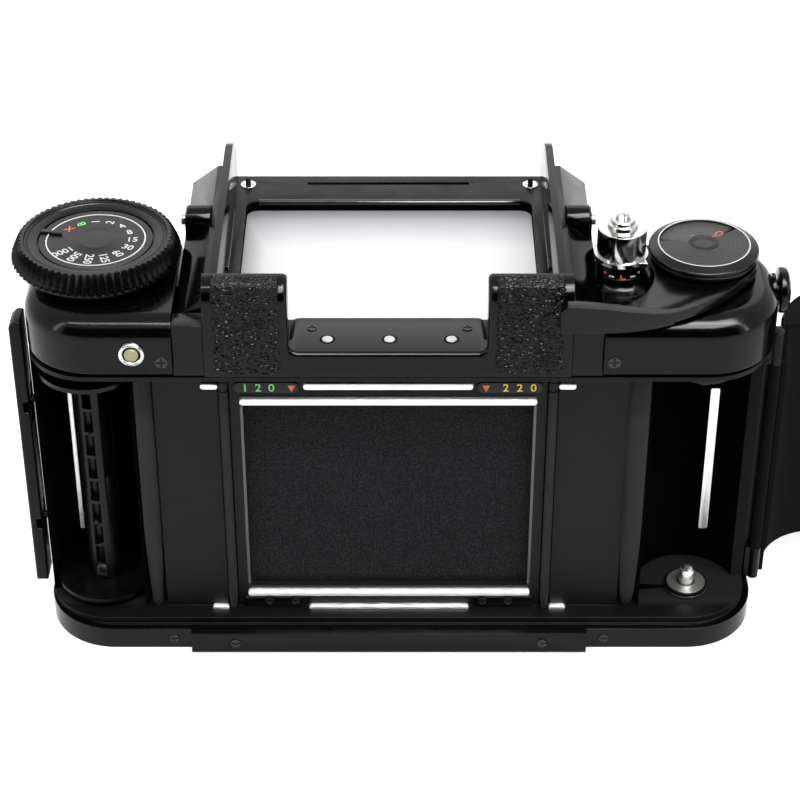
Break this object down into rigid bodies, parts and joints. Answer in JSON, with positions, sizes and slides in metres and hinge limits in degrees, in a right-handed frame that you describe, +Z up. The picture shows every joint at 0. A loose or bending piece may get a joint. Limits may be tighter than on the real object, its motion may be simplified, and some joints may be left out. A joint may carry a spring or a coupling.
{
  "type": "medium format film camera",
  "caption": "Medium format single lens reflex film camera body, back door open, with film chambers, roll spool, open finder well, speed dial, wind lever and lens throat.",
  "frame": {"origin": "centre of the tripod socket's mouth on the underside", "axes": "+Z up, out of the base towards the finder; +Y along the lens axis, out of the lens mount; +X to the right seen from behind"},
  "size_m": [0.3694, 0.096, 0.1148],
  "materials": {
    "black_enamel": "gloss black enamel",
    "black_casting": "matt black paint on cast aluminium",
    "black_satin": "satin black",
    "leatherette": "coarse black leatherette",
    "chrome_plate": "bright chrome",
    "steel": "polished steel",
    "brass_metal": "turned brass",
    "white_plastic": "ivory plastic",
    "grey_plastic": "dark grey moulded plastic",
    "curtain_cloth": "rubberised silk",
    "screen_glass": "ground focusing screen",
    "window_glass": "clear",
    "mirror_silver": "front silvered"
  },
  "bodies": {
    "camera": {"base_rail": "black_enamel", "battery": "steel", "body_casting": "black_casting", "body_leather": "leatherette", "bottom_cover": "black_enamel", "check_bezel": "chrome_plate", "contact_ledge": "black_enamel", "contact_pins": "chrome_plate", "counter_housing": "black_satin", "counter_window": "window_glass", "cover_screws": "black_satin", "film_plates": "black_satin", "film_rails": "steel", "finder_frame": "black_enamel", "finder_sides": "black_enamel", "focusing_screen": "screen_glass", "hinge_leaf": "black_satin", "latch_guides": "brass_metal", "leaf_springs": "steel", "lens_mount_ring": "chrome_plate", "mirror_housing": "black_enamel", "mount_screws": "steel", "rear_blocks": "black_enamel", "shutter_curtain": "curtain_cloth", "spool_bearings": "steel", "strap_lugs": "chrome_plate", "sync_sockets": "chrome_plate", "top_cover_left": "black_enamel", "top_cover_right": "black_enamel", "tripod_socket": "steel"},
    "speed_dial": {"shutter_dial": "black_satin", "dial_disc": "black_satin"},
    "test_button": {"check_button": "white_plastic"},
    "wind_lever": {"wind_lever": "black_enamel"},
    "counter": {"counter_dial": "black_satin"},
    "lock_collar": {"lock_collar": "chrome_plate"},
    "release_button": {"release_button": "chrome_plate"},
    "battery_cover": {"battery_cover": "chrome_plate"},
    "knob_feed": {"spool_knob_feed": "chrome_plate"},
    "knob_take": {"spool_knob_take": "chrome_plate"},
    "take_up": {"take_up_key": "steel"},
    "idler": {"idler_gear": "brass_metal"},
    "drum_left": {"curtain_drum_left": "steel"},
    "drum_right": {"curtain_drum_right": "steel"},
    "spool": {"film_spool": "grey_plastic"},
    "roller_thin_left": {"roller_thin_left": "black_satin"},
    "roller_thin_right": {"roller_thin_right": "black_satin"},
    "roller_thick_left": {"roller_thick_left": "black_satin"},
    "roller_thick_right": {"roller_thick_right": "black_satin"},
    "finder_pin_left": {"finder_pin_left": "chrome_plate"},
    "finder_pin_right": {"finder_pin_right": "chrome_plate"},
    "mirror": {"mirror_holder": "black_satin", "mirror_glass": "mirror_silver"},
    "lens_release": {"lens_release_button": "chrome_plate"},
    "mirror_up": {"mirror_up_lever": "chrome_plate"},
    "door": {"door_shell": "black_satin", "door_leather": "leatherette"},
    "plate": {"pressure_plate": "steel"},
    "latch": {"latch_bar": "black_satin"}
  },
  "joints": [
    {"name": "speed_dial_turn", "type": "hinge", "parent": "camera", "child": "speed_dial", "pos_m": [-0.0698, -0.014, 0.0999], "axis": [0, 0, 1], "range_deg": [-150, 150]},
    {"name": "test_button_press", "type": "slide", "parent": "camera", "child": "test_button", "axis": [0, 1, 0], "range_m": [0, 0.0015], "stiffness_N_per_m": 300, "springref_m": -0.001},
    {"name": "wind_lever_swing", "type": "hinge", "parent": "camera", "child": "wind_lever", "pos_m": [0.075, -0.017, 0.099], "axis": [0, 0, 1], "range_deg": [0, 185], "stiffness_Nm_per_rad": 0.01},
    {"name": "counter_turn", "type": "hinge", "parent": "camera", "child": "counter", "pos_m": [0.075, -0.017, 0.104], "axis": [0, 0, 1], "range_deg": [0, 273]},
    {"name": "lock_collar_turn", "type": "hinge", "parent": "camera", "child": "lock_collar", "pos_m": [0.055, -0.0207, 0.106], "axis": [0, 0, 1], "range_deg": [-90, 0]},
    {"name": "release_button_press", "type": "slide", "parent": "camera", "child": "release_button", "axis": [0, 0, 1], "range_m": [-0.0022, 0], "stiffness_N_per_m": 500, "springref_m": 0.001},
    {"name": "battery_cover_turn", "type": "hinge", "parent": "camera", "child": "battery_cover", "pos_m": [0.0485, -0.0115, 0.001], "axis": [0, 0, -1], "range_deg": [0, 90]},
    {"name": "feed_knob_pull", "type": "slide", "parent": "camera", "child": "knob_feed", "axis": [0, 0, 1], "range_m": [-0.0046, 0], "stiffness_N_per_m": 300, "springref_m": 0.001},
    {"name": "take_knob_pull", "type": "slide", "parent": "camera", "child": "knob_take", "axis": [0, 0, 1], "range_m": [-0.0046, 0], "stiffness_N_per_m": 300, "springref_m": 0.001},
    {"name": "take_up_turn", "type": "hinge", "parent": "camera", "child": "take_up", "pos_m": [0.0765, -0.026, 0.078], "axis": [0, 0, 1], "continuous": true},
    {"name": "idler_turn", "type": "hinge", "parent": "camera", "child": "idler", "pos_m": [0.0665, -0.029, 0.09], "axis": [0, 0, 1], "continuous": true},
    {"name": "curtain_drum_left_turn", "type": "hinge", "parent": "camera", "child": "drum_left", "pos_m": [-0.0485, -0.026, 0.0424], "axis": [0, 0, 1], "continuous": true},
    {"name": "curtain_drum_right_turn", "type": "hinge", "parent": "camera", "child": "drum_right", "pos_m": [0.0485, -0.026, 0.0424], "axis": [0, 0, 1], "continuous": true},
    {"name": "film_spool_turn", "type": "hinge", "parent": "camera", "child": "spool", "pos_m": [-0.0728, -0.0225, 0.0424], "axis": [0, 0, 1], "continuous": true},
    {"name": "roller_thin_left_turn", "type": "hinge", "parent": "camera", "child": "roller_thin_left", "pos_m": [-0.0395, -0.0341, 0.0424], "axis": [0, 0, 1], "continuous": true},
    {"name": "roller_thin_right_turn", "type": "hinge", "parent": "camera", "child": "roller_thin_right", "pos_m": [0.0395, -0.0341, 0.0424], "axis": [0, 0, 1], "continuous": true},
    {"name": "roller_thick_left_turn", "type": "hinge", "parent": "camera", "child": "roller_thick_left", "pos_m": [-0.0589, -0.0331, 0.0424], "axis": [0, 0, 1], "continuous": true},
    {"name": "roller_thick_right_turn", "type": "hinge", "parent": "camera", "child": "roller_thick_right", "pos_m": [0.0605, -0.0331, 0.0424], "axis": [0, 0, 1], "continuous": true},
    {"name": "finder_pin_left_press", "type": "slide", "parent": "camera", "child": "finder_pin_left", "axis": [1, 0, 0], "range_m": [0, 0.0016], "stiffness_N_per_m": 300, "springref_m": -0.001},
    {"name": "finder_pin_right_press", "type": "slide", "parent": "camera", "child": "finder_pin_right", "axis": [-1, 0, 0], "range_m": [0, 0.0016], "stiffness_N_per_m": 300, "springref_m": -0.001},
    {"name": "mirror_lift", "type": "hinge", "parent": "camera", "child": "mirror", "pos_m": [0, -0.025, 0.072], "axis": [1, 0, 0], "range_deg": [0, 45], "stiffness_Nm_per_rad": 0.05, "springref_deg": -17.19},
    {"name": "lens_release_press", "type": "slide", "parent": "camera", "child": "lens_release", "axis": [0, -1, 0], "range_m": [0, 0.002], "stiffness_N_per_m": 300, "springref_m": -0.001},
    {"name": "mirror_up_slide", "type": "slide", "parent": "camera", "child": "mirror_up", "axis": [0, 0, 1], "range_m": [0, 0.006]},
    {"name": "door_swing", "type": "hinge", "parent": "camera", "child": "door", "pos_m": [0.0946, -0.02, 0.044], "axis": [0, 0, 1], "range_deg": [-180, 0]},
    {"name": "pressure_plate_press", "type": "slide", "parent": "door", "child": "plate", "axis": [0, 1, 0], "range_m": [0, 0.0015], "stiffness_N_per_m": 800, "springref_m": -0.001},
    {"name": "latch_slide", "type": "slide", "parent": "camera", "child": "latch", "axis": [0, 0, 1], "range_m": [-0.004, 0], "stiffness_N_per_m": 500, "springref_m": 0.001}
  ],
  "couplings": [
    {"joint": "idler_turn", "follows": "wind_lever_swing", "ratio": -3.0513},
    {"joint": "take_up_turn", "follows": "wind_lever_swing", "ratio": 3.591},
    {"joint": "counter_turn", "follows": "wind_lever_swing", "ratio": 0.067},
    {"joint": "curtain_drum_left_turn", "follows": "wind_lever_swing", "ratio": 5.5},
    {"joint": "curtain_drum_right_turn", "follows": "wind_lever_swing", "ratio": 5.5}
  ]
}
